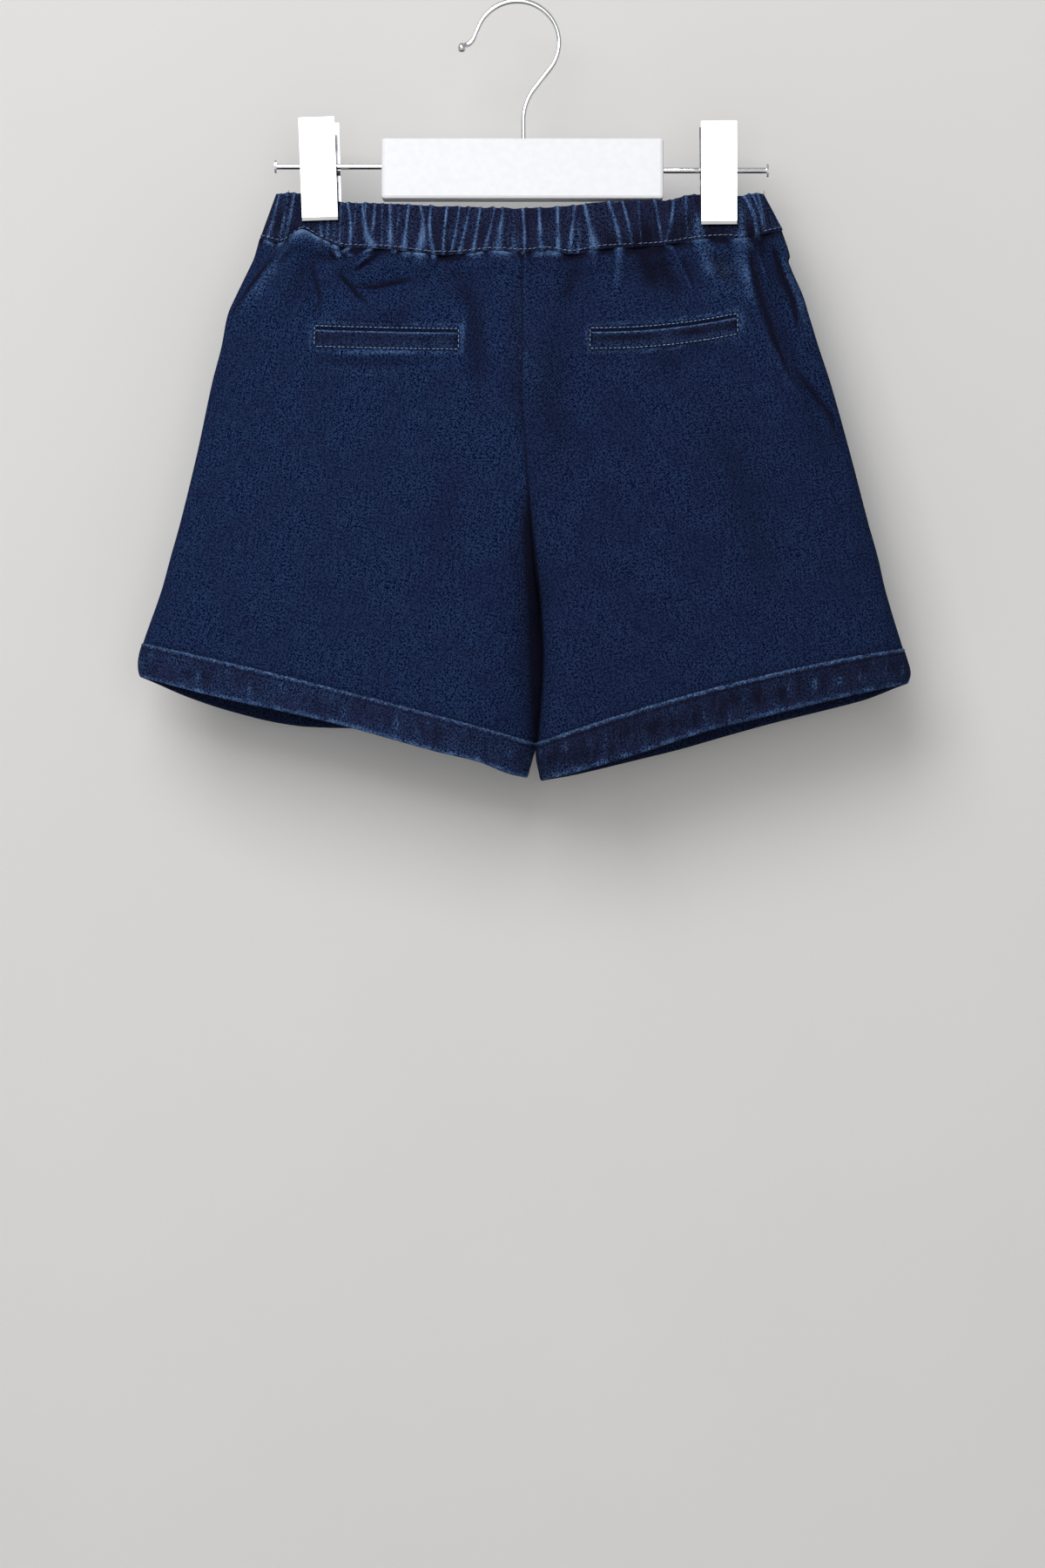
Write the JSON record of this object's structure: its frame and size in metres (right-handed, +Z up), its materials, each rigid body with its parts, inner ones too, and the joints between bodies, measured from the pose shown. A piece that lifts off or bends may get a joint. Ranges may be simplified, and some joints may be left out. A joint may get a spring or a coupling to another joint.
{
  "type": "denim shorts on a clip hanger",
  "caption": "Child's pull-on denim shorts with a gathered elastic waistband, welt back pockets and turned-up hems, clipped flat to a white hanger with a wire hook.",
  "frame": {"origin": "underside of the hook's bend, at its highest point, where a rail carries the hanger", "axes": "+Z up, +X to the right of a viewer who faces the back of the shorts, +Y away from that viewer, through the back of the shorts to the front"},
  "size_m": [0.443, 0.048, 0.4493],
  "materials": {
    "denim": "dark indigo stretch denim twill, matt",
    "band_denim": "dark indigo denim, worn lighter along its ridges",
    "white_paint": "white satin paint",
    "chrome": "polished"
  },
  "bodies": {
    "root": {"back_left": "denim", "back_right": "denim", "front_left": "denim", "front_right": "denim", "hem_left": "denim", "hem_right": "denim", "waistband_back_left": "band_denim", "waistband_back_right": "band_denim", "waistband_front_left": "band_denim", "waistband_front_right": "band_denim", "welt_left": "band_denim", "welt_right": "band_denim", "hanger_block": "white_paint", "hanger_hook": "chrome", "rod_left": "chrome", "rod_right": "chrome", "clip_left_back_plate": "chrome", "clip_left_front_plate": "chrome", "clip_left_spring": "chrome", "clip_right_back_plate": "chrome", "clip_right_front_plate": "chrome", "clip_right_spring": "chrome"}
  },
  "joints": []
}
